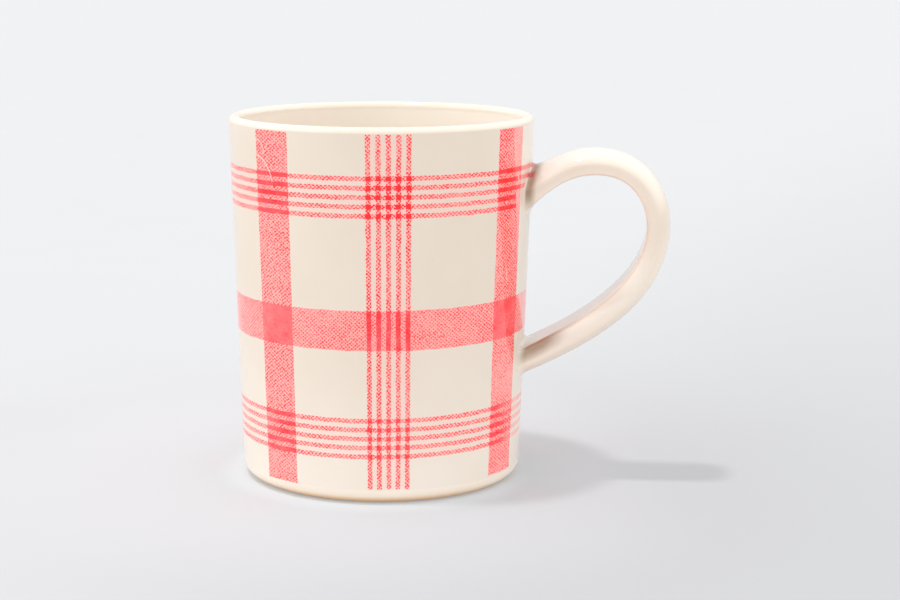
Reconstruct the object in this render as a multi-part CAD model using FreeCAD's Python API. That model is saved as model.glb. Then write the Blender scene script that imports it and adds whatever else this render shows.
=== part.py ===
"""A straight-sided stoneware mug with a strap handle, built up from its clay, slip and glaze layers.

Millimetres, +Z up. The origin is the centre of the foot, on the surface the mug stands on, and
the handle points along +X.
"""
import FreeCAD
import Part

import math
import os

from FreeCAD import Vector

# Body, measured over the fired glaze.
HEIGHT = 98.0
RIM_RADIUS = 41.1
TAPER = 0.0339              # growth of the radius for each millimetre of height
WALL_AT_RIM = 3.2
WALL_AT_FLOOR = 4.2
FLOOR_THICKNESS = 5.4
FLOOR_CORNER = 8.0          # radius between the wall and the floor inside
EDGE_RADIUS = 3.9           # rounding between the wall and the underside
GLAZE = 0.4                 # thickness of every glaze layer

# Foot: a bare clay ring, wiped clean of glaze, round a shallow glazed recess.
FOOT_OUTER = 33.2
FOOT_INNER = 29.4
EDGE_LIFT = 0.15            # how far the glazed edge stays above the table
RECESS_RADIUS = 27.6
RECESS_DEPTH = 1.7

# Handle: distance from the mug's axis, height, and thickness over the glaze, at points that the
# strap's centre line passes through. Both ends are buried in the wall.
HANDLE_LINE = [
    (32.2, 77.1, 18.5),
    (38.9, 79.3, 10.5),
    (51.8, 85.4, 6.8),
    (67.5, 83.3, 6.5),
    (73.4, 75.2, 6.5),
    (74.3, 66.4, 6.5),
    (69.3, 53.8, 7.3),
    (61.7, 45.8, 7.6),
    (31.5, 28.8, 7.4),
]
HANDLE_WIDTH = 17.0         # over the glaze
CROWN_POWER = 2.4           # roundness of the outer face: 2 is an ellipse
FLAT_POWER = 3.4            # squareness of the inner face, where the fingers go
SECTION_POINTS = 24
HANDLE_STATIONS = 26

# Slip joints that hold the handle to the wall.
SLIP_BED = 0.8              # slip left between the handle's end and the wall
SLIP_FILLET = 1.9           # radius of the slip wiped round each joint
SLIP_EDGE = 0.2             # thickness of the slip where it thins out on the handle
GLAZE_FILLET = 2.6          # radius of the joint once glazed over

SIDES = {"front": -180.0, "back": 180.0}


def wall_radius(z, inset=0.0):
    """Outside radius of the wall at height z, less an inset."""
    return RIM_RADIUS - TAPER * (HEIGHT - z) - inset


def at(radius, z):
    return Vector(radius, 0, z)


def outline(rows):
    """Closed wire of (start, middle, end) rows: a line where the middle is None, or else an arc."""
    edges = []
    for start, middle, end in rows:
        if middle is None:
            edges.append(Part.LineSegment(start, end).toShape())
        else:
            edges.append(Part.Arc(start, middle, end).toShape())
    return Part.Wire(edges)


def path(start, *steps):
    """Turn a start point and (middle, end) steps into a closed list of lines and arcs."""
    rows = []
    here = start
    for middle, end in steps:
        rows.append((here, middle, end))
        here = end
    rows.append((here, None, start))
    return rows


def turned(rows, sweep=360.0):
    """Solid of revolution about the mug's axis."""
    face = Part.Face(outline(rows))
    return face.revolve(Vector(0, 0, 0), Vector(0, 0, 1), sweep)


def slant(radius_growth):
    """Lean of a wall, in degrees from upright, for its radius growth per millimetre of height."""
    return math.degrees(math.atan(radius_growth))


def edge_centre():
    """Centre of the rounding between the wall and the underside."""
    z = EDGE_LIFT + EDGE_RADIUS
    return wall_radius(z) - EDGE_RADIUS / math.cos(math.radians(slant(TAPER))), z


def edge_point(degrees, inset):
    """Point on the edge rounding, from -90 (underside) to 0 (wall), sunk by an inset."""
    radius, z = edge_centre()
    turn = math.radians(degrees)
    reach = EDGE_RADIUS - inset
    return at(radius + reach * math.cos(turn), z + reach * math.sin(turn))


def wall_start(inset):
    """Where the edge rounding runs into the straight wall."""
    return edge_point(-slant(TAPER), inset)


def lip_point(degrees, inset):
    """Point on the rounded lip, from 0 (outside) over 90 (top) to 180 (inside)."""
    half = WALL_AT_RIM / 2
    z = HEIGHT - half
    radius = wall_radius(z) - half / math.cos(math.radians(slant(TAPER)))
    turn = math.radians(degrees)
    return at(radius + (half - inset) * math.cos(turn), z + (half - inset) * math.sin(turn))


def lip_outside(inset):
    """Where the lip runs into the outside of the wall."""
    return lip_point(-slant(TAPER), inset)


def lip_inside(inset):
    """Where the lip runs into the inside of the wall."""
    thickening = (WALL_AT_FLOOR - WALL_AT_RIM) / HEIGHT
    return lip_point(180 - slant(TAPER + thickening), inset)


def inner_corner(inset):
    """Points of the corner between the inside wall and the floor: wall end, middle, floor end."""
    z = FLOOR_THICKNESS + FLOOR_CORNER
    radius = wall_radius(z) - WALL_AT_FLOOR - FLOOR_CORNER
    reach = FLOOR_CORNER + inset
    slanting = math.sqrt(0.5) * reach
    return at(radius + reach, z), at(radius + slanting, z - slanting), at(radius, z - reach)


def clay_body():
    """The thrown cup of clay: wall, lip, floor and foot ring in one piece."""
    side, bend, floor_edge = inner_corner(GLAZE)
    rows = path(
        at(0, RECESS_DEPTH + GLAZE),
        (None, at(RECESS_RADIUS, RECESS_DEPTH + GLAZE)),
        (None, at(FOOT_INNER, 0)),
        (None, at(FOOT_OUTER, 0)),
        (None, at(FOOT_OUTER, EDGE_LIFT + GLAZE)),
        (None, edge_point(-90, GLAZE)),
        (edge_point(-45, GLAZE), wall_start(GLAZE)),
        (None, lip_outside(GLAZE)),
        (lip_point(90, GLAZE), lip_inside(GLAZE)),
        (None, side),
        (bend, floor_edge),
        (None, at(0, floor_edge.z)),
    )
    return turned(rows)


def liner_glaze():
    """Glaze over the floor, the inside of the wall and the whole lip."""
    side, bend, floor_edge = inner_corner(GLAZE)
    top_side, top_bend, top_edge = inner_corner(0)
    rows = path(
        at(0, floor_edge.z),
        (None, floor_edge),
        (bend, side),
        (None, lip_inside(GLAZE)),
        (lip_point(90, GLAZE), lip_outside(GLAZE)),
        (None, lip_outside(0)),
        (lip_point(90, 0), lip_inside(0)),
        (None, top_side),
        (top_bend, top_edge),
        (None, at(0, top_edge.z)),
    )
    return turned(rows)


def foot_glaze():
    """Glaze over the edge rounding, from the print's lower end to the foot ring."""
    rows = path(
        wall_start(GLAZE),
        (edge_point(-45, GLAZE), edge_point(-90, GLAZE)),
        (None, at(FOOT_OUTER, EDGE_LIFT + GLAZE)),
        (None, at(FOOT_OUTER, EDGE_LIFT)),
        (None, edge_point(-90, 0)),
        (edge_point(-45, 0), wall_start(0)),
    )
    return turned(rows)


def recess_glaze():
    """Glaze pooled in the shallow recess inside the foot ring."""
    depth = RECESS_DEPTH + GLAZE
    edge = RECESS_RADIUS + (FOOT_INNER - RECESS_RADIUS) * GLAZE / depth
    rows = path(
        at(0, depth),
        (None, at(RECESS_RADIUS, depth)),
        (None, at(edge, RECESS_DEPTH)),
        (None, at(0, RECESS_DEPTH)),
    )
    return turned(rows)


def printed_glaze(sweep):
    """One transfer-printed sheet, fused into the glaze over half of the outside wall."""
    rows = path(
        wall_start(GLAZE),
        (None, wall_start(0)),
        (None, lip_outside(0)),
        (None, lip_outside(GLAZE)),
    )
    return turned(rows, sweep)


def wall_solid(inset):
    """Solid cone as wide as the wall, less an inset, to trim the handle's layers against."""
    low = -5.0
    high = HEIGHT + 5.0
    return Part.makeCone(wall_radius(low, inset), wall_radius(high, inset), high - low, Vector(0, 0, low))


def centre_line():
    """Spline through the handle's line, with the thickness carried as its Y value."""
    curve = Part.BSplineCurve()
    curve.interpolate([Vector(radius, thickness, z) for radius, z, thickness in HANDLE_LINE])
    return curve


def flare_at(clearance, radius):
    """Extra size that a fillet adds at a clearance from the wall."""
    reach = radius - min(max(clearance, 0.0), radius)
    return radius - math.sqrt(radius * radius - reach * reach)


def rounded(turn, power):
    """Cosine-like and sine-like values that go round a squarish oval instead of a circle."""
    across = math.copysign(abs(math.cos(turn)) ** (2 / power), math.cos(turn))
    out = math.copysign(abs(math.sin(turn)) ** (2 / power), math.sin(turn))
    return across, out


def strap_section(curve, fraction, offset, fillet):
    """Closed wire across the strap: crowned outside, flatter inside, flared where it nears the wall."""
    knot = curve.FirstParameter + fraction * (curve.LastParameter - curve.FirstParameter)
    here = curve.value(knot)
    slope = curve.tangent(knot)[0]
    outward = Vector(-slope.z, 0, slope.x).normalize()
    centre = at(here.x, here.z)
    half_thick = here.y / 2 + offset
    half_wide = HANDLE_WIDTH / 2 + offset
    points = []
    for step in range(SECTION_POINTS):
        turn = 2 * math.pi * step / SECTION_POINTS
        across, out = rounded(turn, CROWN_POWER if math.sin(turn) > 0 else FLAT_POWER)
        point = centre + outward * (out * half_thick) + Vector(0, across * half_wide, 0)
        if fillet:
            clearance = math.hypot(point.x, point.y) - wall_radius(point.z)
            away = outward * (math.sin(turn) / half_thick) + Vector(0, math.cos(turn) / half_wide, 0)
            point += away.normalize() * flare_at(clearance, fillet)
        points.append(point)
    ring = Part.BSplineCurve()
    ring.interpolate(points, PeriodicFlag=True)
    return Part.Wire(ring.toShape())


def strap(offset, fillet=0.0):
    """The whole strap as a loft, grown by an offset and flared at both ends by a fillet."""
    curve = centre_line()
    wires = []
    for step in range(HANDLE_STATIONS + 1):
        bow = math.sin(math.pi * (step / HANDLE_STATIONS - 0.5))
        wires.append(strap_section(curve, 0.5 * (1 + bow), offset, fillet))
    return Part.makeLoft(wires, True, False)


def split_by_height(shape):
    """Two solids of a shape, the upper one first."""
    return sorted(shape.Solids, key=lambda solid: -solid.CenterOfMass.z)


def handle_pieces():
    """The clay strap, its two slip joints and the glaze over all three."""
    clay = strap(-GLAZE).cut(wall_solid(GLAZE - SLIP_BED))
    flared = strap(-GLAZE + SLIP_EDGE, SLIP_FILLET)
    near_wall = wall_solid(-SLIP_FILLET - SLIP_BED)
    slip = flared.common(near_wall).cut(wall_solid(GLAZE)).cut(clay)
    upper, lower = split_by_height(slip)[:2]
    skin = strap(0.0, GLAZE_FILLET).cut(wall_solid(0)).cut(clay).cut(slip)
    return clay, upper, lower, skin, flared


def build():
    clay, upper, lower, skin, flared = handle_pieces()
    nodes = {
        "clay_body": clay_body(),
        "clay_handle": clay,
        "upper_slip_joint": upper,
        "lower_slip_joint": lower,
        "liner_glaze": liner_glaze(),
        "foot_glaze": foot_glaze(),
        "recess_glaze": recess_glaze(),
        "handle_glaze": skin,
    }
    for side, sweep in SIDES.items():
        nodes[side + "_printed_glaze"] = printed_glaze(sweep).cut(flared)
    return nodes


def main():
    os.makedirs("parts", exist_ok=True)
    for name, shape in build().items():
        solids = shape.Solids
        print(name, "valid", shape.isValid(), "solids", len(solids), "volume", round(shape.Volume, 1))
        shape.exportStep("parts/" + name + ".step")


main()
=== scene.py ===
"""Looks of the checked stoneware mug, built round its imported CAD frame.

Lengths in the tables are in millimetres, in the part's own frame: cup on +Z, handle on +X.
Objects are in metres.
"""

import math

import bpy
import numpy as np
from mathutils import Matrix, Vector


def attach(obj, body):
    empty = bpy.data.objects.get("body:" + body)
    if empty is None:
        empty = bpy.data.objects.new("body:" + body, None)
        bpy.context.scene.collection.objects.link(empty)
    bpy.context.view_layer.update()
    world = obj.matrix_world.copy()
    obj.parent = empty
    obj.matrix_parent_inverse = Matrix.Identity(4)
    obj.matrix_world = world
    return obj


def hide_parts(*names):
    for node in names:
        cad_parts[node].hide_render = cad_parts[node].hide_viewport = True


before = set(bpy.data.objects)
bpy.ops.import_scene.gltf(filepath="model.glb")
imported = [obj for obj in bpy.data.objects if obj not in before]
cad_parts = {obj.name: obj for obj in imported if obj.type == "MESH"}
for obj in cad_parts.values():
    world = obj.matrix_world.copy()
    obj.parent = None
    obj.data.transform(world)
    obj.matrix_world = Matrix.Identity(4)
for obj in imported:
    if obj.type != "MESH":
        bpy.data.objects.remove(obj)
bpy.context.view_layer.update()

MM = 0.001

# ---- cup, as in the CAD source ----
HEIGHT = 98.0
RIM_RADIUS = 41.1
TAPER = 0.0339
WALL_AT_RIM = 3.2
WALL_AT_FLOOR = 4.2
FLOOR_THICKNESS = 5.4
FLOOR_CORNER = 8.0
EDGE_RADIUS = 3.9
GLAZE = 0.4
FOOT_OUTER = 33.2
EDGE_LIFT = 0.15
RECESS_RADIUS = 27.6
RECESS_DEPTH = 1.7
LIP_RADIUS = WALL_AT_RIM / 2
SLANT = math.degrees(math.atan(TAPER))
INNER_SLANT = math.degrees(math.atan(TAPER + (WALL_AT_FLOOR - WALL_AT_RIM) / HEIGHT))
ROUND_STEPS = 256

# ---- handle: its line is the CAD source's, its section an oval cut flat towards the cup ----
HANDLE_WIDTH = 17.0
CROWN_POWER = 2.1  # roundness of the outer face, where 2 is an ellipse
CROWN_SHARE = 0.58  # share of the thickness that lies outside the widest line
CUT = 0.38  # depth of the cut side, as a share of the whole oval's
CUT_POWER = 11.0  # how sharply the flat meets the sides
ROOT_POWER = 1.6  # roundness of the outer face at the upper root
ROOT_REACH = 10.0  # how far from the wall the roots begin to change
UPPER_FLARE = 0.2  # how much wider the strap is at its roots, as a share
LOWER_FLARE = 0.1
UNDER_FILLET = 1.1  # how much larger the fillet is on the side that faces the cup, as a share
GLAZE_FILLET = 1.7
CREASE_ANGLE = 70.0
SLIP = 0.2
CLAY_FILLET = 0.3
HANDLE_LINE = [  # distance from the axis, height, thickness
    (32.2, 77.1, 18.5),
    (38.9, 79.3, 10.5),
    (51.8, 85.4, 6.8),
    (67.5, 83.3, 6.5),
    (73.4, 75.2, 6.5),
    (74.3, 66.4, 6.5),
    (69.3, 53.8, 7.3),
    (61.7, 45.8, 7.6),
    (31.5, 28.8, 7.4),
]
AROUND_STRAP = 128
ALONG_STRAP = 150
STRAP_SAMPLES = 1200
FILLET_STEPS = 12
ROOT_DIP = 0.25
SHARP_ANGLE = math.radians(50)

# ---- print, in mm: arc length at PRINT_RADIUS from the sheet's front line, and height ----
PRINT_RADIUS = 39.5
FRONT_LINE = math.radians(-83.5)
REPEAT = 68.65
WIDE_CENTRE = -30.15
WIDE_HALF = 5.6
FINE_CENTRE = 1.8
FINE_PITCH = 2.5
FINE_HALF = 0.62
LEVEL_WIDE = 46.2
LEVEL_WIDE_HALF = 5.2
LEVEL_UPPER = 80.48
LEVEL_LOWER = 17.73
LEVEL_PITCH = 2.377
THREAD_ACROSS = 0.5
THREAD_UP = 0.4754
SHEET_SKEW = 0.0035
SHEET_TILT = 0.0095
SHEET_TILT_LOSS = 0.0000829
WIDENED = 0.74  # drawn weave in a millimetre of sheet near the sheet's ends
WIDENING_FROM = PRINT_RADIUS * math.acos(WIDENED)

SMALL_FOLD = (-36.4, 90.2)
LONG_FOLD = (-38.0, 82.0)
FOLD_ENDS = {  # where a fold begins to show, across and up the sheet
    SMALL_FOLD: ((-36.3, -35.9), (89.6, 90.4)),
    LONG_FOLD: ((-36.6, -36.2), (82.6, 84.4)),
}
DARK_FOLD = ((-2.2, 83.2), (-0.4, 81.3))

# ---- ink, as a share of full red ----
INK_STEPS = [  # from, to, colour
    (0.0, 0.30, (0.97, 0.40, 0.36, 1)),
    (0.28, 0.60, (0.98, 0.145, 0.145, 1)),
    (0.56, 0.82, (0.97, 0.045, 0.06, 1)),
    (0.80, 1.0, (0.91, 0.003, 0.012, 1)),
]
WARP_FINE, WEFT_FINE = 0.86, 0.80
WARP_WIDE, WEFT_WIDE = 0.79, 0.79
WIDE_CROSS_LOSS = 0.22
HAZE_WIDE = 0.33
HAZE_FINE = 0.24
HAZE_GROUP = 0.095
HAZE_LEVELS = 0.075
LOWER_LINES = 0.88
CALM_WEAVE = 0.48

# ---- studio ----
VIEW_TURN = math.radians(6.5)
CAMERA_DISTANCE = 535.06
CAMERA_HEIGHT = 144.98
CAMERA_PITCH = math.radians(10.367)
LENS = 79.67
SENSOR = 36.0
CAMERA_SHIFT = 0.07611  # sideways, as a share of the picture's width
WORLD_LEVEL = 0.86
WORLD_TOP = 0.35
WORLD_FRONT = 0.40
WORLD_RIGHT = -0.06
WORLD_SIDES = 1.3
WORLD_COLOUR = (0.985, 0.99, 1.0, 1)
KEY_FROM = (-0.243, -0.035, 0.969)
KEY_STRENGTH = 1.0
KEY_ANGLE = 5.0  # degrees
FLOOR_GLOW = 0.03
FLOOR_NEAR_GLOW = 0.085
FLOOR_CONTACT_GLOW = 0.12
FLOOR_DULL = (0.464, 0.467, 0.474, 1)
FLOOR_PALE = (0.476, 0.479, 0.486, 1)
FLOOR_FRONT_RIGHT = (0.386, 0.390, 0.397, 1)
GLOW_FAR = (0.99, 0.99, 1.01, 1)
GLOW_NEAR = (0.86, 0.96, 1.04, 1)


def polar(angle):
    """Cosine and sine of an angle."""
    return math.cos(angle), math.sin(angle)


# ================= profiles =================


def wall_radius(z):
    """Radius of the cup's outside at a height."""
    return RIM_RADIUS - TAPER * (HEIGHT - z)


def arc(centre, radius, start, end, steps):
    """Points of an arc with their outward normals, angles in degrees."""
    made = []
    for k in range(steps + 1):
        c, s = polar(math.radians(start + (end - start) * k / steps))
        made.append(((centre[0] + radius * c, centre[1] + radius * s), (c, s)))
    return made


def line(start, end, normal, steps=1):
    """Points along a straight edge, all with one normal."""
    made = []
    for k in range(steps + 1):
        f = k / steps
        point = (start[0] + (end[0] - start[0]) * f, start[1] + (end[1] - start[1]) * f)
        made.append((point, normal))
    return made


def joined(*pieces):
    """One smooth run from several that follow each other."""
    run = list(pieces[0])
    for piece in pieces[1:]:
        run += piece[1:]
    return run


def edge_centre():
    """Centre of the foot's rounded edge."""
    z = EDGE_LIFT + EDGE_RADIUS
    return wall_radius(z) - EDGE_RADIUS / math.cos(math.atan(TAPER)), z


def lip_centre():
    """Centre of the rounded lip."""
    z = HEIGHT - LIP_RADIUS
    return wall_radius(z) - LIP_RADIUS / math.cos(math.atan(TAPER)), z


def on_arc(centre, radius, degrees):
    """One point of an arc."""
    c, s = polar(math.radians(degrees))
    return centre[0] + radius * c, centre[1] + radius * s


def inner_radius(z):
    """Radius of the cup's inside at a height."""
    taper = TAPER + (WALL_AT_FLOOR - WALL_AT_RIM) / HEIGHT
    lip = on_arc(lip_centre(), LIP_RADIUS, 180 - INNER_SLANT)
    return lip[0] - taper * (lip[1] - z)


def wall_run(inset, steps):
    """The cup's outside from the foot's edge up to the lip, at a depth under the glaze."""
    low = on_arc(edge_centre(), EDGE_RADIUS - inset, -SLANT)
    high = on_arc(lip_centre(), LIP_RADIUS - inset, -SLANT)
    return line(low, high, polar(math.radians(-SLANT)), steps)


def backwards(run):
    """The same run the other way round, facing the other way."""
    return [(p, (-n[0], -n[1])) for p, n in reversed(run)]


def flipped(run):
    """The same run facing the other way."""
    return [(p, (-n[0], -n[1])) for p, n in run]


def bridge(a, b):
    """A short straight edge between two points, on the left of its direction."""
    d = (b[0] - a[0], b[1] - a[1])
    size = math.hypot(*d) or 1.0
    return line(a, b, (d[1] / size, -d[0] / size))


def closed(outer, inner):
    """A skin's four runs: outer face, edge, inner face, edge."""
    return [
        outer,
        bridge(outer[-1][0], inner[0][0]),
        inner,
        bridge(inner[-1][0], outer[0][0]),
    ]


# ================= meshes =================


def mesh_object(name, points, faces, normals, uvs):
    """A mesh in metres with its own corner normals and its own unrolled UV layer."""
    mesh = bpy.data.meshes.new(name)
    mesh.from_pydata([tuple(c * MM for c in p) for p in points], [], faces)
    layer = mesh.uv_layers.new(name="OFBake")
    layer.data.foreach_set("uv", np.array(uvs, np.float32).ravel())
    mesh.polygons.foreach_set("use_smooth", [len(face) <= 4 for face in faces])
    if normals is not None:
        mesh.normals_split_custom_set(normals)
    mesh.update()
    made = bpy.data.objects.new(name, mesh)
    bpy.context.scene.collection.objects.link(made)
    return made


def run_spans(runs, seen_share):
    """Where each run lies across the UV square: the first one large, the rest in a strip."""
    rest = (1 - seen_share - 0.03) / (len(runs) - 1)
    spans = [(1 - seen_share, 0.997)]
    for k in range(len(runs) - 1):
        low = 0.004 + rest * k
        spans.append((low, low + rest * 0.8))
    return spans


def across_uv(k, steps):
    """Place of step k across the UV square."""
    return 0.003 + 0.994 * k / steps


class TurnedSkin:
    """Points, faces, corner normals and UV corners of a skin turned about the axis."""

    def __init__(self, start, end, steps):
        self.whole = abs(end - start) > 359.9
        self.steps = steps
        self.angles = np.radians(np.linspace(start, end, steps + 1))
        self.points, self.faces, self.normals, self.uvs = [], [], [], []
        self.index = {}

    def vertex(self, point, k):
        r, z = point
        k = 0 if r < 1e-6 or (self.whole and k == self.steps) else k
        key = (round(r, 5), round(z, 5), k)
        if key not in self.index:
            self.index[key] = len(self.points)
            self.points.append((r * math.cos(self.angles[k]), r * math.sin(self.angles[k]), z))
        return self.index[key]

    def add_face(self, corners):
        """A face from (point, step, normal, uv) corners, without the ones that fall together."""
        ids, kept = [], []
        for point, k, normal, uv in corners:
            i = self.vertex(point, k)
            if i not in ids:
                ids.append(i)
                kept.append((k, normal, uv))
        if len(ids) < 3:
            return
        self.faces.append(ids)
        for k, (nr, nz), uv in kept:
            self.normals.append((nr * math.cos(self.angles[k]), nr * math.sin(self.angles[k]), nz))
            self.uvs.append(uv)

    def add_run(self, run, low, high):
        """All faces of one run, laid out between two heights of the UV square."""
        lengths = [0.0]
        for (a, _), (b, _) in zip(run, run[1:]):
            lengths.append(lengths[-1] + math.hypot(b[0] - a[0], b[1] - a[1]))
        v = [low + (high - low) * q / lengths[-1] for q in lengths]
        for j in range(len(run) - 1):
            (pa, na), (pb, nb) = run[j], run[j + 1]
            for k in range(self.steps):
                left, right = across_uv(k, self.steps), across_uv(k + 1, self.steps)
                self.add_face([
                    (pa, k, na, (left, v[j])),
                    (pa, k + 1, na, (right, v[j])),
                    (pb, k + 1, nb, (right, v[j + 1])),
                    (pb, k, nb, (left, v[j + 1])),
                ])

    def add_caps(self, runs):
        """The flat ends of a skin that does not go all the way round."""
        ring = [p for run in runs for p, _ in run[:-1]]
        for k, side in ((0, -1), (self.steps, 1)):
            c, s = polar(self.angles[k])
            ids = [self.vertex(p, k) for p in ring]
            self.faces.append(ids if side > 0 else ids[::-1])
            self.normals += [(-s * side, c * side, 0)] * len(ids)
            self.uvs += [(0.5, 0.002)] * len(ids)


def turned(name, runs, start, end, steps, seen_share=0.93):
    """A skin turned about the axis from runs of (point, normal), between two angles."""
    skin = TurnedSkin(start, end, steps)
    for run, (low, high) in zip(runs, run_spans(runs, seen_share)):
        skin.add_run(run, low, high)
    if not skin.whole:
        skin.add_caps(runs)
    return mesh_object(name, skin.points, skin.faces, skin.normals, skin.uvs)


# ================= strap =================


def natural_spline(values, count):
    """Points of a natural cubic spline through the rows of values, and their slopes."""
    rows = np.array(values, float)
    knots = np.concatenate([[0], np.cumsum(np.linalg.norm(np.diff(rows[:, :2], axis=0), axis=1))])
    h = np.diff(knots)
    n = len(rows)
    a = np.eye(n)
    b = np.zeros((n, rows.shape[1]))
    for i in range(1, n - 1):
        a[i, i - 1 : i + 2] = h[i - 1], 2 * (h[i - 1] + h[i]), h[i]
        b[i] = 6 * ((rows[i + 1] - rows[i]) / h[i] - (rows[i] - rows[i - 1]) / h[i - 1])
    m = np.linalg.solve(a, b)
    x = np.linspace(0, knots[-1], count)
    k = np.clip(np.searchsorted(knots, x, side="right") - 1, 0, n - 2)
    t = (x - knots[k])[:, None]
    g = h[k][:, None]
    slope = (rows[k + 1] - rows[k]) / g - g * (2 * m[k] + m[k + 1]) / 6
    curve = m[k] / 2
    cubic = (m[k + 1] - m[k]) / (6 * g)
    return rows[k] + slope * t + curve * t**2 + cubic * t**3, slope + 2 * curve * t + 3 * cubic * t**2


def clearance(p):
    """Distance of points outwards from the cup's wall."""
    return np.hypot(p[..., 0], p[..., 1]) - wall_radius(p[..., 2])


def at_clearance(gap, wanted, side):
    """Places along a line of samples, as fractions, where its gap has the wanted values."""
    middle = len(gap) // 2
    if side < 0:
        stretch = np.arange(0, middle)
    else:
        stretch = np.arange(middle, len(gap))[::-1]
    rising = np.maximum.accumulate(gap[stretch]) + np.arange(len(stretch)) * 1e-9
    return np.interp(wanted, rising, stretch.astype(float))


def section(turn, half_wide, depth, power, cut=None):
    """Place on an oval at an angle round it, or on one cut flat at a share of its depth."""
    c, s = polar(turn)
    size = (abs(c) ** power + abs(s) ** power) ** (1 / power)
    if cut:
        size = (size**CUT_POWER + abs(s / cut) ** CUT_POWER) ** (1 / CUT_POWER)
    return c / size * half_wide, s / size * depth


def outwards(row):
    """Unit directions away from the cup's axis."""
    radial = row * [1, 1, 0]
    return radial / np.linalg.norm(radial, axis=1)[:, None]


def strap_spine():
    """The strap's centre line, its thickness there, and the way its outer face looks."""
    spine, slope = natural_spline(HANDLE_LINE, STRAP_SAMPLES)
    none = np.zeros(STRAP_SAMPLES)
    along = slope[:, :2] / np.linalg.norm(slope[:, :2], axis=1)[:, None]
    outward = np.stack([-along[:, 1], none, along[:, 0]], 1)
    if outward[STRAP_SAMPLES // 2, 0] < 0:
        outward = -outward
    return np.stack([spine[:, 0], none, spine[:, 1]], 1), spine[:, 2], outward


def strap_lines(offset):
    """Lines along the strap: for each angle round it, the points and the way a fillet leaves."""
    centre, thickness, outward = strap_spine()
    widest = centre - outward * ((CROWN_SHARE - 0.5) * thickness)[:, None]
    near = np.clip(1 - clearance(centre) / ROOT_REACH, 0, 1)
    near = near * near * (3 - 2 * near)
    upper = np.arange(STRAP_SAMPLES) < STRAP_SAMPLES // 2
    crown = CROWN_POWER + (ROOT_POWER - CROWN_POWER) * near * upper
    flare = np.where(upper, UPPER_FLARE, LOWER_FLARE) * near
    half_wide = (HANDLE_WIDTH / 2) * (1 + flare) - offset
    lines = []
    for k in range(AROUND_STRAP):
        turn = 2 * math.pi * k / AROUND_STRAP
        if math.sin(turn) > 0:
            across, out = section(turn, half_wide, CROWN_SHARE * thickness - offset, crown)
        else:
            depth = ((1 - CROWN_SHARE) * thickness - offset) / CUT
            across, out = section(turn, half_wide, depth, CROWN_POWER, CUT)
        points = widest + outward * out[:, None] + np.outer(across, [0, 1, 0])
        push = outward * math.sin(turn) + [0, math.cos(turn), 0]
        lines.append((turn, points, push))
    return lines


def filleted(turn, points, push, offset, fillet):
    """A line of the strap ended on the wall, spread into a fillet at both ends."""
    levels = np.radians(np.linspace(0, CREASE_ANGLE, FILLET_STEPS + 1))
    radius = fillet * (1 + UNDER_FILLET * max(0.0, -math.sin(turn)) ** 2)
    gaps = radius * (math.sin(levels[-1]) - np.sin(levels)) - offset
    spread = radius * (1 - np.cos(levels))
    gap = clearance(points)
    first = at_clearance(gap, gaps, -1)
    last = at_clearance(gap, gaps, 1)
    inside = np.linspace(first[0], last[0], ALONG_STRAP)[1:-1]
    places = np.concatenate([first[::-1], inside, last])
    keys = np.arange(STRAP_SAMPLES)
    base = np.stack([np.interp(places, keys, points[:, q]) for q in range(3)], 1)
    way = np.stack([np.interp(places, keys, push[:, q]) for q in range(3)], 1)
    moved = base + way * np.concatenate([spread[::-1], np.zeros(len(inside)), spread])[:, None]
    wanted = np.concatenate([gaps[::-1], clearance(moved)[len(gaps) : -len(gaps)], gaps])
    return moved + outwards(moved) * (wanted - clearance(moved))[:, None]


def strap_grid(offset, fillet):
    """Points of the strap's face, rows along it and columns round it, both ends on the wall."""
    return np.stack([filleted(*along, offset, fillet) for along in strap_lines(offset)], 1)


def strap_quads(first, second, low, high):
    """Faces between two rows of the strap, and their corners on the UV square."""
    faces, uvs = [], []
    for k in range(AROUND_STRAP):
        m = (k + 1) % AROUND_STRAP
        a, b = first * AROUND_STRAP, second * AROUND_STRAP
        faces.append([a + k, b + k, b + m, a + m])
        left, right = across_uv(k, AROUND_STRAP), across_uv(k + 1, AROUND_STRAP)
        uvs += [(left, low), (left, high), (right, high), (right, low)]
    return faces, uvs


def strap_skin(name, outer, inner):
    """A closed skin between two grids of the strap's rows."""
    loop = np.concatenate([outer, inner[::-1]])
    rows = len(loop)
    seen = len(outer) - 1
    hidden = rows - seen
    faces, uvs = [], []
    for i in range(rows):
        if i < seen:
            low, high = 0.06 + 0.937 * i / seen, 0.06 + 0.937 * (i + 1) / seen
        else:
            share = (i - seen) / hidden
            low, high = 0.004 + 0.04 * share, 0.004 + 0.04 * (share + 1 / hidden)
        more_faces, more_uvs = strap_quads(i, (i + 1) % rows, low, high)
        faces += more_faces
        uvs += more_uvs
    made = mesh_object(name, loop.reshape(-1, 3), faces, None, uvs)
    made.data.set_sharp_from_angle(angle=SHARP_ANGLE)
    return made


def handle_skin(name):
    """The glaze over the strap; its edges dip into the wall."""
    outer = strap_grid(0.0, GLAZE_FILLET)
    first = outer[0] - outwards(outer[0]) * ROOT_DIP
    last = outer[-1] - outwards(outer[-1]) * ROOT_DIP
    outer = np.concatenate([[first], outer, [last]])
    return strap_skin(name, outer, strap_grid(GLAZE, GLAZE_FILLET - GLAZE))


def slip_collar(name, rows):
    """Slip between the clay strap and the glaze, where the strap meets the wall."""
    outer = strap_grid(GLAZE, GLAZE_FILLET - GLAZE)[rows]
    inner = strap_grid(GLAZE + SLIP, CLAY_FILLET)[rows]
    return strap_skin(name, outer, inner)


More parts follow.
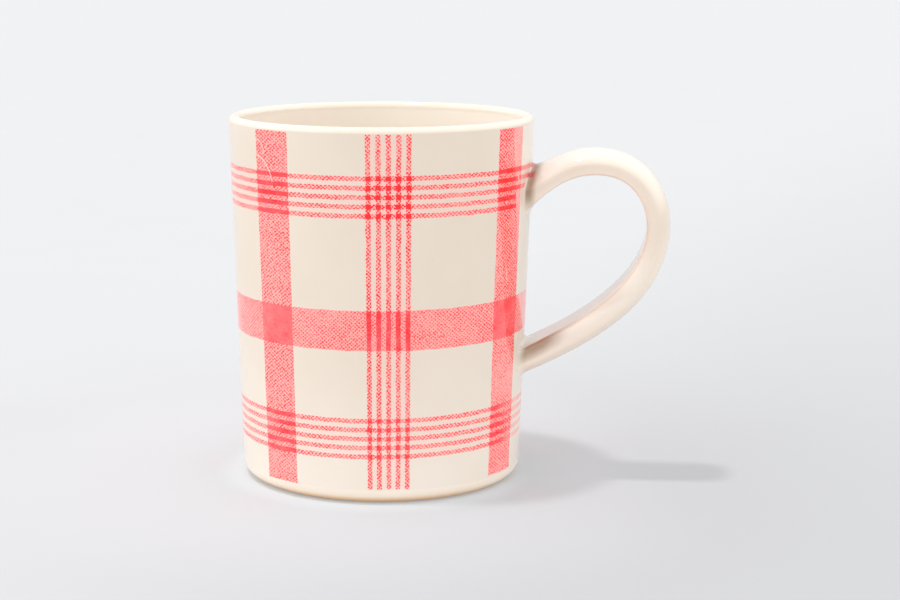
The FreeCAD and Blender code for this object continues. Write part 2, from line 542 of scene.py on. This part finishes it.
def clay_strap(name):
    """The solid strap of clay under the glaze, closed at both ends."""
    grid = strap_grid(GLAZE + SLIP, CLAY_FILLET)
    rows = len(grid)
    faces, uvs = [], []
    for i in range(rows - 1):
        more_faces, more_uvs = strap_quads(i, i + 1, 0.06 + 0.93 * i / rows, 0.06 + 0.93 * (i + 1) / rows)
        faces += more_faces
        uvs += more_uvs
    last = (rows - 1) * AROUND_STRAP
    faces.append(list(range(AROUND_STRAP)))
    faces.append([last + k for k in range(AROUND_STRAP)][::-1])
    for middle in (0.02, 0.045):
        for k in range(AROUND_STRAP):
            c, s = polar(2 * math.pi * k / AROUND_STRAP)
            uvs.append((0.5 + 0.01 * c, middle + 0.01 * s))
    made = mesh_object(name, grid.reshape(-1, 3), faces, None, uvs)
    made.data.set_sharp_from_angle(angle=SHARP_ANGLE)
    return made


# ================= shader arithmetic =================


class Value:
    """A number in a shader tree; sums and products of it add Math nodes."""

    def __init__(self, tree, socket):
        self.tree = tree
        self.socket = socket

    def op(self, name, *others):
        node = self.tree.nodes.new("ShaderNodeMath")
        node.operation = name
        for i, item in enumerate((self,) + others):
            put(self.tree, item, node.inputs[i])
        return Value(self.tree, node.outputs[0])

    def __add__(self, other):
        return self.op("ADD", other)

    __radd__ = __add__

    def __sub__(self, other):
        return self.op("SUBTRACT", other)

    def __rsub__(self, other):
        return (self * -1) + other

    def __mul__(self, other):
        return self.op("MULTIPLY", other)

    __rmul__ = __mul__

    def __truediv__(self, other):
        return self.op("DIVIDE", other)

    def less(self, other):
        return self.op("MINIMUM", other)

    def more(self, other):
        return self.op("MAXIMUM", other)

    def size(self):
        return self.op("ABSOLUTE")

    def cos(self):
        return self.op("COSINE")

    def sin(self):
        return self.op("SINE")

    def root(self):
        return self.op("SQRT")

    def wrapped(self, period):
        return self.op("WRAP", period / 2, -period / 2)

    def step(self, low, high):
        """0 below low, 1 above high, smooth between; low may be the larger."""
        node = self.tree.nodes.new("ShaderNodeMapRange")
        node.interpolation_type = "SMOOTHSTEP"
        put(self.tree, self, node.inputs["Value"])
        lo, hi, a, b = (low, high, 0, 1) if low < high else (high, low, 1, 0)
        node.inputs["From Min"].default_value = lo
        node.inputs["From Max"].default_value = hi
        node.inputs["To Min"].default_value = a
        node.inputs["To Max"].default_value = b
        return Value(self.tree, node.outputs["Result"])


def put(tree, item, socket):
    if isinstance(item, Value):
        tree.links.new(item.socket, socket)
    elif hasattr(item, "is_linked"):
        tree.links.new(item, socket)
    else:
        socket.default_value = item


def stripe(x, half, soft):
    """1 within half of zero, 0 outside, with soft edges."""
    return x.size().step(half + soft, half - soft)


def noise(tree, vector, scale, detail=2.0, rough=0.5, flat=True):
    """Noise about zero, of the given scale per millimetre."""
    node = tree.nodes.new("ShaderNodeTexNoise")
    node.noise_dimensions = "2D" if flat else "3D"
    tree.links.new(vector, node.inputs["Vector"])
    node.inputs["Scale"].default_value = scale
    node.inputs["Detail"].default_value = detail
    node.inputs["Roughness"].default_value = rough
    return Value(tree, node.outputs["Fac"]) - 0.5


def vector_of(tree, x, y, z=0.0):
    node = tree.nodes.new("ShaderNodeCombineXYZ")
    put(tree, x, node.inputs[0])
    put(tree, y, node.inputs[1])
    put(tree, z, node.inputs[2])
    return node.outputs[0]


def coordinates(tree):
    """Object coordinates in millimetres: x, y, z and the vector."""
    where = tree.nodes.new("ShaderNodeTexCoord")
    scale = tree.nodes.new("ShaderNodeVectorMath")
    scale.operation = "SCALE"
    scale.inputs["Scale"].default_value = 1 / MM
    tree.links.new(where.outputs["Object"], scale.inputs[0])
    split = tree.nodes.new("ShaderNodeSeparateXYZ")
    tree.links.new(scale.outputs[0], split.inputs[0])
    x, y, z = (Value(tree, split.outputs[i]) for i in range(3))
    return x, y, z, scale.outputs[0]


def blend(tree, amount, a, b):
    """Colour a at 0, colour b at 1."""
    node = tree.nodes.new("ShaderNodeMix")
    node.data_type = "RGBA"
    put(tree, amount, node.inputs["Factor"])
    put(tree, a, node.inputs["A"])
    put(tree, b, node.inputs["B"])
    return node.outputs["Result"]


def new_material(name):
    material = bpy.data.materials.new(name)
    material.use_nodes = True
    tree = material.node_tree
    tree.nodes.clear()
    shader = tree.nodes.new("ShaderNodeBsdfPrincipled")
    output = tree.nodes.new("ShaderNodeOutputMaterial")
    tree.links.new(shader.outputs[0], output.inputs[0])
    return material, tree, shader


# ================= print =================


def sheet_place(x, y, z):
    """Arc length and height on the printed sheet; the sheet's ends meet under the handle."""
    angle = y.op("ARCTAN2", x)
    angle = angle - angle.step(-1e-4, 1e-4) * (2 * math.pi)
    turn = angle - FRONT_LINE
    s = turn * PRINT_RADIUS
    tilt = (SHEET_TILT - z * SHEET_TILT_LOSS) * PRINT_RADIUS
    return s + (z - 50) * SHEET_SKEW, z - turn.sin() * tilt


def segment(s, z, a, b, half, soft):
    """A short straight mark from a to b."""
    dx, dz = b[0] - a[0], b[1] - a[1]
    size = math.hypot(dx, dz)
    dx, dz = dx / size, dz / size
    along = (s - a[0]) * dx + (z - a[1]) * dz
    aside = (s - a[0]) * dz - (z - a[1]) * dx
    return stripe(aside, half, soft) * stripe(along - size / 2, size / 2, soft)


def ring_mark(s, z, centre, radius, half, soft):
    """A thin line along a circle."""
    ds, dz = s - centre[0], z - centre[1]
    return stripe((ds * ds + dz * dz).root() - radius, half, soft)


def fold(s, z, centre, radius, half, soft):
    """A thin line along the part of a circle where the sheet was folded."""
    (s_from, s_to), (z_from, z_to) = FOLD_ENDS[centre]
    return ring_mark(s, z, centre, radius, half, soft) * s.step(s_from, s_to) * z.step(z_from, z_to)


def creases(s, z):
    """Where the sheet's small folds and nicks left light lines."""
    first = fold(s, z, SMALL_FOLD, 3.8, 0.14, 0.22)
    second = fold(s, z, LONG_FOLD, 8.2, 0.16, 0.24)
    nick = segment(s, z, (38.0, 59.5), (38.0, 56.3), 0.16, 0.25)
    other = segment(s, z, (42.3, 83.7), (42.9, 82.2), 0.2, 0.25)
    low = segment(s, z, (-31.0, 54.6), (-30.2, 53.2), 0.1, 0.2)
    return first.more(second).more(nick).more(other).more(low)


def crease_shades(s, z):
    """Darker rims beside the two folds."""
    return fold(s, z, SMALL_FOLD, 4.15, 0.1, 0.25).more(fold(s, z, LONG_FOLD, 7.75, 0.1, 0.3))


def sheet_end(s, z):
    """How far a place is under two sheets, and how far it is under the loose end only."""
    above, below = z - 51.0, 51.0 - z
    left = (37.5 + below * 0.158).more(39.0 + (41.5 - z) * 0.5)
    right = (45.2 - above * 0.138).more(45.5 + below * 0.684)
    start = (s - left).step(-0.25, 0.25)
    beyond = (s - right).step(-0.2, 0.2)
    return start * (1 - beyond), beyond


def level_lines(z, centre):
    """The five fine threads round the cup at a height, and the haze over them."""
    away = z - centre
    lines = stripe(away.wrapped(LEVEL_PITCH), FINE_HALF, 0.14) * stripe(away, 2.5 * LEVEL_PITCH, 0.2)
    return lines, stripe(away, 2.3 * LEVEL_PITCH, 1.0)


def drawn_across(s):
    """Place across the sheet in its drawn weave, whose threads widen towards the sheet's ends."""
    turn = s.size().less(WIDENING_FROM)
    drawn = (turn / PRINT_RADIUS).sin() * PRINT_RADIUS + (s.size() - turn) * WIDENED
    return drawn * s.op("SIGN")


def weave_of(tree, place, drawn, z, broad, calm):
    """1 where a warp thread is on top, 0 where a weft thread is; softer in the broad bands."""
    rag = noise(tree, place, 1.6, 2.0, 0.6)
    across = drawn + noise(tree, place, 1.05, 1.0) * 0.5 - FINE_CENTRE
    up = z + noise(tree, place, 1.25, 1.0) * 0.5 - LEVEL_UPPER
    weave = (across * (math.pi / THREAD_ACROSS)).cos() * (up * (math.pi / THREAD_UP)).cos() + rag * 2.4
    weave = weave.step(-0.3, 0.3) * (1 - broad) + weave.step(-1.05, 1.05) * broad
    return weave * (1 - calm) + calm * CALM_WEAVE


def printed_ink(tree, s, z):
    """How much red ink there is, from 0 to 1, with the haze round the fine lines."""
    drawn = drawn_across(s)
    place = vector_of(tree, drawn, z)
    rag = noise(tree, place, 1.6, 2.0, 0.6)
    double, beyond = sheet_end(s, z)
    s = s + noise(tree, place, 0.35, 1.0) * 0.35 + rag * 0.16
    z = z + noise(tree, place, 0.31, 1.0) * 0.3 + rag * 0.16

    ends = z.step(96.6, 96.2) * z.step(4.0, 4.5)
    wide = stripe((s - WIDE_CENTRE).wrapped(REPEAT), WIDE_HALF, 0.12) * ends
    group = (s - FINE_CENTRE).wrapped(REPEAT)
    fine = stripe(group.wrapped(FINE_PITCH), FINE_HALF, 0.14) * stripe(group, 2.5 * FINE_PITCH, 0.2) * ends
    group_haze = stripe(group, 2.3 * FINE_PITCH, 1.0) * ends
    level_wide = stripe(z - LEVEL_WIDE, LEVEL_WIDE_HALF, 0.12)
    upper, upper_haze = level_lines(z, LEVEL_UPPER)
    lower, lower_haze = level_lines(z, LEVEL_LOWER)
    upper = upper * (1 - beyond * (z - LEVEL_UPPER).step(-1.0, -1.4))
    lower = lower * (LOWER_LINES - s.step(37.0, 42.0) * 0.35)
    levels = upper.more(lower)
    bands = wide.more(level_wide)

    past = beyond * s.step(57.0, 53.0)
    low_band = s.step(30.0, 33.0) * z.step(39.5, 36.5) * z.step(23.0, 26.0) * (1 - double)
    calm = (past * 0.8).more(low_band * 0.4)
    weave = weave_of(tree, place, drawn, z, bands * (1 - fine.more(levels)), calm)

    wear = 1 + noise(tree, place, 0.28, 2.0) * 0.5 + noise(tree, place, 0.085, 2.0) * 0.6
    wear = wear + rag * 0.45 + group_haze * upper_haze * 0.45
    warp = (fine * WARP_FINE).more(wide * WARP_WIDE)
    weft = (levels * WEFT_FINE).more(level_wide * WEFT_WIDE)
    ink = (weave * warp + (1 - weave) * weft) * wear * (1 - wide * level_wide * WIDE_CROSS_LOSS)
    haze = (bands * HAZE_WIDE).more(group_haze * HAZE_GROUP)
    haze = haze.more(upper_haze.more(lower_haze) * HAZE_LEVELS).more(fine.more(levels) * HAZE_FINE)
    haze = haze + group_haze * upper_haze * 0.05
    knots = fine * levels * (rag * 0.7 + 0.9 + upper * 0.12)
    ink = ink.more(haze).more(knots)
    ink = ink + double * (ink - 0.12).more(0.0) * 0.28
    ink = ink * (1 - past * level_wide * 0.3)
    ink = ink.more(segment(s, z, *DARK_FOLD, 0.1, 0.14) * 0.9)
    ink = ink * (1 + crease_shades(s, z) * 0.2)
    return ink * (1 - creases(s, z) * 0.85)


def ink_colour(tree, ink, ground):
    """Ground, pink, coral, deep and full red as the ink grows."""
    colour = ground
    for low, high, red in INK_STEPS:
        colour = blend(tree, ink.step(low, high), colour, red)
    return colour


# ================= materials =================

CREAM = (0.738, 0.642, 0.537, 1)
CREAM_DEEP = (0.718, 0.616, 0.507, 1)
# paler cream for painted light
LIT_CREAM = (0.86, 0.79, 0.70, 1)
# paler cream for painted light on the foot's rounded edge
FOOT_LIT_CREAM = (0.90, 0.78, 0.65, 1)
EDGE_TAN = (0.90, 0.53, 0.24, 1)
# paler cream for painted bounce light under the strap
UNDER_LIT_CREAM = (0.93, 0.81, 0.68, 1)
# greyer, darker cream for painted shade on the strap's tops
TOP_SHADED_CREAM = (0.625, 0.590, 0.560, 1)
# brown for painted shade round the handle's joints, where some glaze also gathered
SHADE_AND_POOL_BROWN = (0.31, 0.19, 0.11, 1)
COVERED_RED = (0.46, 0.015, 0.02, 1)
SPECK_BROWN = (0.45, 0.32, 0.2, 1)
CLAY_DARK = (0.50, 0.38, 0.27, 1)
CLAY_PALE = (0.66, 0.54, 0.41, 1)
LOWER_RUN_START = 33.8
LOWER_RUN_RISE = 0.563
LOWER_RUN_COSINE = 0.871


def cream_ground(tree, vector, painted_light=0.0):
    """The cream body seen through the glaze, with faint clouds and a few specks, paler where painted light
    is laid on.
    """
    clouds = noise(tree, vector, 0.045, 3.0, 0.5, flat=False)
    base = blend(tree, clouds.step(-0.18, 0.2), CREAM, CREAM_DEEP)
    base = blend(tree, painted_light, base, LIT_CREAM)
    specks = noise(tree, vector, 0.9, 1.0, 0.5, flat=False).step(0.27, 0.31)
    return blend(tree, specks * 0.12, base, SPECK_BROWN)


def glaze_surface(tree, shader, vector):
    """Clear glaze: a glossy coat over a duller ground, with a faint orange peel."""
    shader.inputs["Roughness"].default_value = 0.42
    shader.inputs["IOR"].default_value = 1.5
    shader.inputs["Specular IOR Level"].default_value = 0.0
    shader.inputs["Coat Weight"].default_value = 1.0
    shader.inputs["Coat Roughness"].default_value = 0.06
    shader.inputs["Coat IOR"].default_value = 1.6
    peel = noise(tree, vector, 0.12, 2.0, 0.5, flat=False)
    bump = tree.nodes.new("ShaderNodeBump")
    bump.inputs["Strength"].default_value = 0.25
    bump.inputs["Distance"].default_value = 0.15 * MM
    tree.links.new(peel.socket, bump.inputs["Height"])
    tree.links.new(bump.outputs[0], shader.inputs["Normal"])
    tree.links.new(bump.outputs[0], shader.inputs["Coat Normal"])


def printed_material():
    material, tree, shader = new_material("printed_glaze")
    x, y, z, vector = coordinates(tree)
    s, height = sheet_place(x, y, z)
    ink = printed_ink(tree, s, height)
    # painted light: the wall is paler towards the bottom, as if lit from the floor, and beside the handle,
    # as if lit by light it throws back
    beside = y.op("ARCTAN2", x).size().step(0.49, 0.27)
    painted_light = (z.step(55.0, 0.0) * 0.5).more(beside * 0.45)
    colour = ink_colour(tree, ink, cream_ground(tree, vector, painted_light))
    tree.links.new(colour, shader.inputs["Base Color"])
    glaze_surface(tree, shader, vector)
    return material


def wall_gap(x, y, z):
    """Distance outwards from the cup's wall."""
    return (x * x + y * y).root() - (z * TAPER + (RIM_RADIUS - TAPER * HEIGHT))


def cream_material():
    """Plain glaze with painted light: paler inside the cup, more so on its right, where the key light
    falls, and paler towards its foot, with a painted lit band over the foot's rounded edge; tan at the
    foot's edge, where little glaze covers the clay."""
    material, tree, shader = new_material("cream_glaze")
    x, y, z, vector = coordinates(tree)
    # painted light: paler inside the cup, more on its right side, where the key light falls, and paler
    # towards the bottom
    inside = wall_gap(x, y, z).step(-1.8, -3.0) * z.step(97.2, 95.5)
    painted_light = (inside * (x.step(-38.0, 15.0) * 0.5 + 0.35)).more(z.step(55.0, 0.0) * 0.5)
    outside = wall_gap(x, y, z).step(-5.0, -4.2)
    ground = cream_ground(tree, vector, painted_light)
    # painted light: a lit band over the foot's rounded edge; below it tan, where little glaze covers the
    # clay
    ground = blend(tree, z.step(5.0, 2.6) * outside, ground, FOOT_LIT_CREAM)
    ground = blend(tree, z.step(2.5, 0.6) * outside, ground, EDGE_TAN)
    tree.links.new(ground, shader.inputs["Base Color"])
    glaze_surface(tree, shader, vector)
    return material


def painted_shade_and_pools(gap, y, z, facing_up):
    """Painted shade: the rim's shadow and the crease's shade round the upper joint, where some glaze also
    gathered;
    the cup's shadow on the lower joint's sides; and a faint shaded line along the edge of the lower run."""
    # painted shadow of the rim and shade in the crease at the upper joint, where some glaze also gathered
    upper = gap.step(0.0, 0.5) * gap.step(3.2, 1.0) * z.step(72.0, 79.0)
    # painted shadow and shade of the cup on the lower joint's sides
    above = (z - (gap * LOWER_RUN_RISE + LOWER_RUN_START)) * LOWER_RUN_COSINE
    low = z.step(60.0, 55.0)
    lower = gap.step(-0.3, 2.0) * gap.step(13.5, 5.5) * above.step(-2.7, 0.5)
    lower = lower * y.size().step(6.4, 7.4) * low
    lower = lower * facing_up.step(0.7, 0.4).more(y.step(0.0, -2.0) * facing_up.step(0.92, 0.8))
    # painted shade along the edge of the lower run
    edge = gap.step(30.0, 22.0) * above.step(0.3, 2.4) * y.size().step(6.6, 7.6) * low
    return (upper * 0.95).more(lower * 0.92).more(edge * 0.24)


def covered_lines(tree, vector, gap, y, z):
    """The two fine threads of the print that run on under the upper joint's glaze."""
    first = stripe(z - (LEVEL_UPPER + 2 * LEVEL_PITCH), 0.6, 0.35) * gap.step(1.6, 0.9)
    second = stripe(z - (LEVEL_UPPER + LEVEL_PITCH), 0.65, 0.35) * gap.step(1.8, 0.9)
    rag = noise(tree, vector, 1.1, 2.0, 0.6, flat=False).step(-0.2, -0.1)
    return first.more(second) * rag * y.step(0.5, -2.0)


def handle_material():
    """Cream glaze with painted light and shade: a painted highlight on the lower run's sides, painted
    bounce light underneath, painted shade greying the tops, and brown painted shade round the joints,
    where some glaze also gathered.
    """
    material, tree, shader = new_material("handle_glaze")
    x, y, z, vector = coordinates(tree)
    geometry = tree.nodes.new("ShaderNodeNewGeometry")
    facing = tree.nodes.new("ShaderNodeSeparateXYZ")
    tree.links.new(geometry.outputs["Normal"], facing.inputs[0])
    facing_side = Value(tree, facing.outputs[1]).size()
    facing_up = Value(tree, facing.outputs[2])
    gap = wall_gap(x, y, z)

    # painted highlight along the sides of the lower run
    side_highlight = facing_side.step(0.8, 0.99) * gap.step(4.0, 14.0) * z.step(66.0, 54.0) * 0.6
    ground = cream_ground(tree, vector, side_highlight)
    # painted bounce light on faces that look down
    ground = blend(tree, facing_up.step(0.15, -0.5), ground, UNDER_LIT_CREAM)
    # painted shade: the faces that look up are greyed and darkened where the light is strongest
    ground = blend(tree, facing_up.step(0.25, 0.95) * 0.6, ground, TOP_SHADED_CREAM)
    clouds = noise(tree, vector, 0.5, 2.0, 0.5, flat=False)
    # brown painted shade round the joints, where some glaze also gathered
    shade_and_pools = painted_shade_and_pools(gap, y, z, facing_up) * (1 + clouds * 0.3)
    colour = blend(tree, shade_and_pools, ground, SHADE_AND_POOL_BROWN)
    colour = blend(tree, covered_lines(tree, vector, gap, y, z), colour, COVERED_RED)
    tree.links.new(colour, shader.inputs["Base Color"])
    glaze_surface(tree, shader, vector)
    return material


def clay_material():
    """Bare fired clay: matt, warm, finely grained."""
    material, tree, shader = new_material("bare_clay")
    x, y, z, vector = coordinates(tree)
    grain = noise(tree, vector, 2.2, 4.0, 0.65, flat=False)
    clouds = noise(tree, vector, 0.12, 2.0, 0.5, flat=False)
    tone = (grain + clouds * 0.8).step(-0.3, 0.3)
    colour = blend(tree, tone, CLAY_DARK, CLAY_PALE)
    tree.links.new(colour, shader.inputs["Base Color"])
    shader.inputs["Roughness"].default_value = 0.85
    bump = tree.nodes.new("ShaderNodeBump")
    bump.inputs["Strength"].default_value = 0.4
    bump.inputs["Distance"].default_value = 0.06 * MM
    tree.links.new(grain.socket, bump.inputs["Height"])
    tree.links.new(bump.outputs[0], shader.inputs["Normal"])
    return material


# ================= pieces =================


def printed_skin(name, start, end):
    outer = wall_run(0.0, 40)
    inner = backwards(wall_run(GLAZE, 4))
    return turned(name, closed(outer, inner), start, end, ROUND_STEPS // 2)


def liner_runs():
    """From the lip's outside over it and down to the floor's centre, then back under the glaze."""
    corner_z = FLOOR_THICKNESS + FLOOR_CORNER
    corner = (inner_radius(corner_z) - FLOOR_CORNER, corner_z)
    lip = lip_centre()

    def face(inset):
        floor_z = FLOOR_THICKNESS - inset
        return joined(
            line((0.0, floor_z), (corner[0], floor_z), (0.0, 1.0), 6),
            flipped(arc(corner, FLOOR_CORNER + inset, -90, -INNER_SLANT, 20)),
            line(
                on_arc(corner, FLOOR_CORNER + inset, -INNER_SLANT),
                on_arc(lip, LIP_RADIUS - inset, 180 - INNER_SLANT),
                polar(math.radians(180 - INNER_SLANT)),
                30,
            ),
            arc(lip, LIP_RADIUS - inset, 180 - INNER_SLANT, -SLANT, 36),
        )

    return backwards(flipped(face(0.0))), flipped(face(GLAZE))


def foot_runs():
    """Round the foot's edge from the ring up to the print, then back under the glaze."""
    centre = edge_centre()
    low = on_arc(centre, EDGE_RADIUS, -90)

    def face(inset):
        bottom = on_arc(centre, EDGE_RADIUS - inset, -90)
        return joined(
            line((FOOT_OUTER, low[1] + inset), bottom, (0.0, -1.0), 2),
            arc(centre, EDGE_RADIUS - inset, -90, -SLANT, 24),
        )

    return face(0.0), backwards(face(GLAZE))


def recess_runs():
    """Across the recess inside the foot ring, then back under the glaze."""
    z = RECESS_DEPTH
    edge = RECESS_RADIUS - GLAZE
    seen = [
        ((edge + 1.0, 0.55), (-0.75, -0.66)),
        ((edge, z - 0.35), (-0.72, -0.69)),
        ((edge - 0.35, z - 0.08), (-0.35, -0.94)),
        ((edge - 1.0, z), (0.0, -1.0)),
        ((12.0, z), (0.0, -1.0)),
        ((0.0, z), (0.0, -1.0)),
    ]
    hidden = [
        ((0.0, z + GLAZE), (0.0, 1.0)),
        ((edge, z + GLAZE), (0.0, 1.0)),
        ((edge + 1.3, 0.85), (0.8, 0.6)),
    ]
    return list(reversed(seen)), hidden


def finish_piece(made, material, slot, *nodes):
    made.data.materials.append(material)
    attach(made, "root")
    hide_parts(*nodes)


printed = printed_material()
cream = cream_material()
clay = clay_material()
strap_glaze = handle_material()

front_print = printed_skin("front_print", -180, 0)
back_print = printed_skin("back_print", 0, 180)
liner = turned("liner", closed(*liner_runs()), 0, 360, ROUND_STEPS, 0.9)
foot_edge = turned("foot_edge", closed(*foot_runs()), 0, 360, ROUND_STEPS)
recess = turned("recess", closed(*recess_runs()), 0, 360, ROUND_STEPS)
handle = handle_skin("handle")
strap = clay_strap("strap")
upper_slip = slip_collar("upper_slip", slice(0, FILLET_STEPS))
lower_slip = slip_collar("lower_slip", slice(-FILLET_STEPS, None))

finish_piece(front_print, printed, "printed_glaze", "front_printed_glaze")
finish_piece(back_print, printed, "printed_glaze", "back_printed_glaze")
finish_piece(liner, cream, "cream_glaze", "liner_glaze")
finish_piece(foot_edge, cream, "cream_glaze", "foot_glaze")
finish_piece(recess, cream, "cream_glaze", "recess_glaze")
finish_piece(handle, strap_glaze, "cream_glaze", "handle_glaze")
finish_piece(strap, clay, "bare_clay", "clay_handle")
finish_piece(upper_slip, clay, "bare_clay", "upper_slip_joint")
finish_piece(lower_slip, clay, "bare_clay", "lower_slip_joint")

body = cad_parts["clay_body"]
body.data.materials.clear()
body.data.materials.append(clay)


# ================= studio =================


def from_camera_frame(right, away, up):
    """A direction seen from the camera, in the part's frame."""
    c, s = polar(VIEW_TURN)
    return Vector((right * c - away * s, right * s + away * c, up))


def add_camera():
    """The camera that sees the mug from the front, with the handle at the right."""
    data = bpy.data.cameras.new("camera")
    data.lens = LENS
    data.sensor_width = SENSOR
    data.shift_x = CAMERA_SHIFT
    data.clip_start, data.clip_end = 0.01, 50.0
    made = bpy.data.objects.new("camera", data)
    bpy.context.scene.collection.objects.link(made)
    made.location = from_camera_frame(0, -CAMERA_DISTANCE, CAMERA_HEIGHT) * MM
    look = from_camera_frame(0, math.cos(CAMERA_PITCH), -math.sin(CAMERA_PITCH))
    made.rotation_euler = look.to_track_quat("-Z", "Y").to_euler()
    bpy.context.scene.camera = made


def add_sun(name, right, away, up, strength, angle):
    """A distant lamp; the numbers after its name point from the mug to the lamp."""
    data = bpy.data.lights.new(name, "SUN")
    data.energy = strength
    data.angle = math.radians(angle)
    made = bpy.data.objects.new(name, data)
    bpy.context.scene.collection.objects.link(made)
    made.rotation_euler = from_camera_frame(right, away, up).to_track_quat("Z", "Y").to_euler()


def add_world():
    """Soft studio light: brighter above, in front and, above the horizon, at both sides."""
    world = bpy.data.worlds.new("studio")
    bpy.context.scene.world = world
    world.use_nodes = True
    tree = world.node_tree
    tree.nodes.clear()
    where = tree.nodes.new("ShaderNodeTexCoord")
    split = tree.nodes.new("ShaderNodeSeparateXYZ")
    tree.links.new(where.outputs["Generated"], split.inputs[0])
    x, y, z = (Value(tree, split.outputs[i]) for i in range(3))
    front, right = from_camera_frame(0, -1, 0), from_camera_frame(1, 0, 0)
    near = (x * front.x + y * front.y).more(0.0)
    side = x * right.x + y * right.y
    up = z.more(0.0)
    shade = tree.nodes.new("ShaderNodeBackground")
    level = near * WORLD_FRONT + side * WORLD_RIGHT + up * WORLD_TOP
    level = level + side * side * (up * 3).less(1.0) * WORLD_SIDES
    put(tree, level + WORLD_LEVEL, shade.inputs["Strength"])
    shade.inputs["Color"].default_value = WORLD_COLOUR
    output = tree.nodes.new("ShaderNodeOutputWorld")
    tree.links.new(shade.outputs[0], output.inputs[0])


def floor_mesh():
    """A large sheet of rings."""
    rings, steps = [0.3, 0.6, 1.2, 2.5, 6.0], 96
    points, faces = [(0.0, 0.0, 0.0)], []
    for radius in rings:
        for k in range(steps):
            c, s = polar(2 * math.pi * k / steps)
            points.append((radius * c, radius * s, 0.0))
    for k in range(steps):
        faces.append((0, 1 + k, 1 + (k + 1) % steps))
    for j in range(len(rings) - 1):
        low, high = 1 + j * steps, 1 + (j + 1) * steps
        for k in range(steps):
            m = (k + 1) % steps
            faces.append((low + k, high + k, high + m, low + m))
    mesh = bpy.data.meshes.new("floor")
    mesh.from_pydata(points, [], faces)
    return mesh


def floor_material():
    """Pale matt paper, slightly darker towards the front right, lit through near the mug."""
    material, tree, shader = new_material("pale_floor")
    x, y, z, vector = coordinates(tree)
    right = from_camera_frame(1, 0, 0)
    towards = from_camera_frame(0, -1, 0)
    across = x * right.x + y * right.y
    beyond = (104 - (x * towards.x + y * towards.y)).more(0.0)
    shade = (across - beyond * 0.4).step(-160, 70) * (beyond * (-1 / 600)).op("EXPONENT")
    distance = (x * x + y * y).root()
    close = distance.step(125, 40)
    shaded = across.step(50, 90) * 0.7
    contact = distance.step(47, 36) * across.step(44, 30)
    lift = close * (1 - shaded) * FLOOR_NEAR_GLOW + contact * FLOOR_CONTACT_GLOW
    grain = noise(tree, vector, 0.02, 2.0, 0.5, flat=False)
    colour = blend(tree, grain + 0.5, FLOOR_DULL, FLOOR_PALE)
    colour = blend(tree, shade, colour, FLOOR_FRONT_RIGHT)
    tree.links.new(colour, shader.inputs["Base Color"])
    glow = blend(tree, close, GLOW_FAR, GLOW_NEAR)
    tree.links.new(glow, shader.inputs["Emission Color"])
    put(tree, lift + FLOOR_GLOW, shader.inputs["Emission Strength"])
    shader.inputs["Roughness"].default_value = 0.9
    shader.inputs["Specular IOR Level"].default_value = 0.2
    return material


def add_floor():
    """A large pale sheet under the mug."""
    floor = bpy.data.objects.new("floor", floor_mesh())
    bpy.context.scene.collection.objects.link(floor)
    floor.data.materials.append(floor_material())


add_camera()
add_world()
add_sun("key", *KEY_FROM, KEY_STRENGTH, KEY_ANGLE)
add_floor()
bpy.context.scene.view_settings.view_transform = "Standard"
